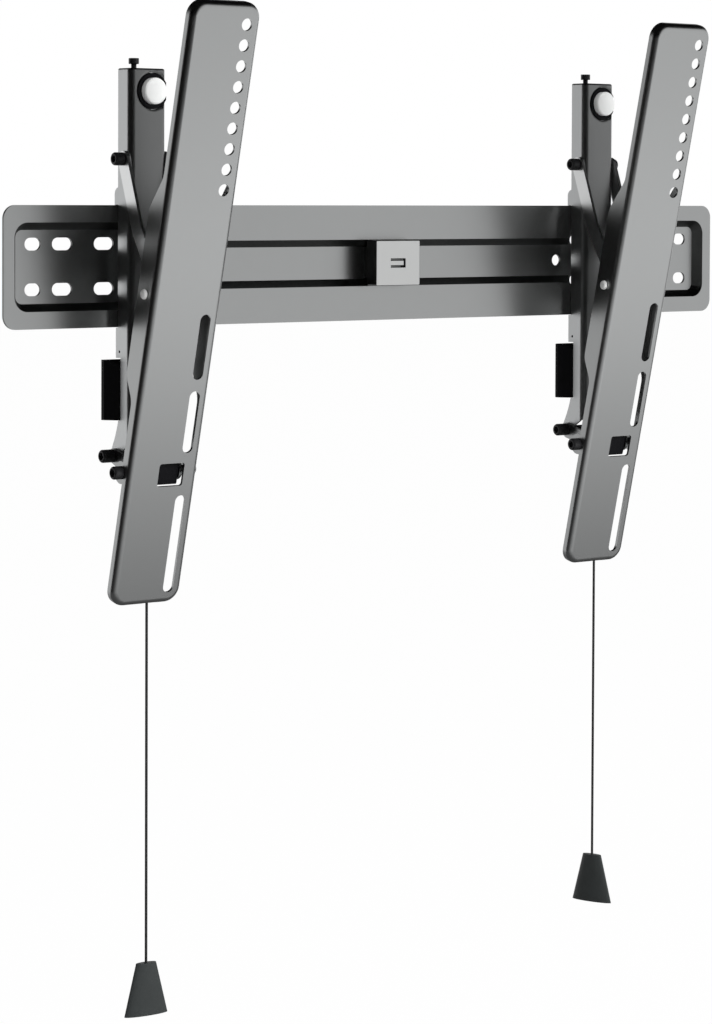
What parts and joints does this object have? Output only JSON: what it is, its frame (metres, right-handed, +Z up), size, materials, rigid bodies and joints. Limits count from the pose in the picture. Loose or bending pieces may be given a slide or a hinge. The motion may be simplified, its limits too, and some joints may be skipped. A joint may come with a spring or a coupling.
{
  "type": "tilting tv wall bracket",
  "caption": "Pressed wall plate with hooked uprights, each carrying a drilled screen strip on a tilt linkage and a cord-pulled lock with a hanging tag.",
  "frame": {"origin": "middle of the wall plate's back, on the wall", "axes": "+X right along the plate as seen by a viewer facing the wall, +Y into the wall, +Z up"},
  "size_m": [0.7, 0.125, 0.7408],
  "materials": {
    "plate": "satin metallic lacquer",
    "steel": "satin metallic lacquer",
    "strip": "satin metallic lacquer",
    "holder": "satin moulded",
    "black_plastic": "matt moulded",
    "tag": "satin moulded",
    "black_steel": "black oxide",
    "zinc": "bright zinc",
    "clear_buffer": "clear soft",
    "cord": "braided"
  },
  "bodies": {
    "plate": {"wall_plate": "plate", "level_holder": "holder"},
    "left_carriage": {"left_upright": "steel", "left_buffer_seat": "black_plastic", "left_buffer": "clear_buffer", "left_wall_foot": "black_plastic", "left_lock_spring": "zinc", "left_arm_bolt": "black_steel", "left_arm_nut": "black_steel", "left_link_bolt": "black_steel", "left_link_nut": "black_steel"},
    "left_screw": {"left_height_screw": "black_steel"},
    "left_lock": {"left_lock_catch": "black_plastic", "left_pull_cord": "cord", "left_pull_tag": "tag"},
    "left_arm": {"left_tilt_arm": "zinc", "left_arm_rivets": "zinc"},
    "left_link": {"left_lower_links": "steel"},
    "left_tray": {"left_strip": "strip", "left_strip_rod": "black_steel", "left_strip_nut": "black_steel", "left_rod_spacer": "black_plastic"},
    "right_carriage": {"right_upright": "steel", "right_buffer_seat": "black_plastic", "right_buffer": "clear_buffer", "right_wall_foot": "black_plastic", "right_lock_spring": "zinc", "right_arm_bolt": "black_steel", "right_arm_nut": "black_steel", "right_link_bolt": "black_steel", "right_link_nut": "black_steel"},
    "right_screw": {"right_height_screw": "black_steel"},
    "right_lock": {"right_lock_catch": "black_plastic", "right_pull_cord": "cord", "right_pull_tag": "tag"},
    "right_arm": {"right_tilt_arm": "zinc", "right_arm_rivets": "zinc"},
    "right_link": {"right_lower_links": "steel"},
    "right_tray": {"right_strip": "strip", "right_strip_rod": "black_steel", "right_strip_nut": "black_steel", "right_rod_spacer": "black_plastic"}
  },
  "joints": [
    {"name": "left_carriage_slide", "type": "slide", "parent": "plate", "child": "left_carriage", "axis": [1, 0, 0], "range_m": [-0.08, 0.15]},
    {"name": "left_height_screw_turn", "type": "hinge", "parent": "left_carriage", "child": "left_screw", "pos_m": [-0.2427, -0.015, 0.147], "axis": [0, 0, 1], "range_deg": [-180, 180]},
    {"name": "left_lock_pull", "type": "slide", "parent": "left_carriage", "child": "left_lock", "axis": [0, 0, -1], "range_m": [0, 0.008], "stiffness_N_per_m": 400, "springref_m": -0.01, "deforming": ["left_lock_spring"]},
    {"name": "left_arm_tilt", "type": "hinge", "parent": "left_carriage", "child": "left_arm", "pos_m": [-0.237, -0.02, 0.078], "axis": [-1, 0, 0], "range_deg": [-22.8, 2.9]},
    {"name": "left_strip_tilt", "type": "hinge", "parent": "left_arm", "child": "left_tray", "pos_m": [-0.237, -0.0659, -0.01866], "axis": [-1, 0, 0], "range_deg": [-4.6, 35.5]},
    {"name": "left_link_swing", "type": "hinge", "parent": "left_carriage", "child": "left_link", "pos_m": [-0.237, -0.008, -0.1385], "axis": [-1, 0, 0], "range_deg": [-39.6, 5.1]},
    {"name": "right_carriage_slide", "type": "slide", "parent": "plate", "child": "right_carriage", "axis": [1, 0, 0], "range_m": [-0.12, 0.11]},
    {"name": "right_height_screw_turn", "type": "hinge", "parent": "right_carriage", "child": "right_screw", "pos_m": [0.2013, -0.015, 0.147], "axis": [0, 0, 1], "range_deg": [-180, 180]},
    {"name": "right_lock_pull", "type": "slide", "parent": "right_carriage", "child": "right_lock", "axis": [0, 0, -1], "range_m": [0, 0.008], "stiffness_N_per_m": 400, "springref_m": -0.01, "deforming": ["right_lock_spring"]},
    {"name": "right_arm_tilt", "type": "hinge", "parent": "right_carriage", "child": "right_arm", "pos_m": [0.207, -0.02, 0.078], "axis": [-1, 0, 0], "range_deg": [-22.8, 2.9]},
    {"name": "right_strip_tilt", "type": "hinge", "parent": "right_arm", "child": "right_tray", "pos_m": [0.207, -0.0659, -0.01866], "axis": [-1, 0, 0], "range_deg": [-4.6, 35.5]},
    {"name": "right_link_swing", "type": "hinge", "parent": "right_carriage", "child": "right_link", "pos_m": [0.207, -0.008, -0.1385], "axis": [-1, 0, 0], "range_deg": [-39.6, 5.1]}
  ],
  "couplings": [
    {"joint": "left_strip_tilt", "follows": "left_arm_tilt", "ratio": -1.554},
    {"joint": "left_link_swing", "follows": "left_arm_tilt", "ratio": 1.73},
    {"joint": "right_strip_tilt", "follows": "right_arm_tilt", "ratio": -1.554},
    {"joint": "right_link_swing", "follows": "right_arm_tilt", "ratio": 1.73}
  ]
}
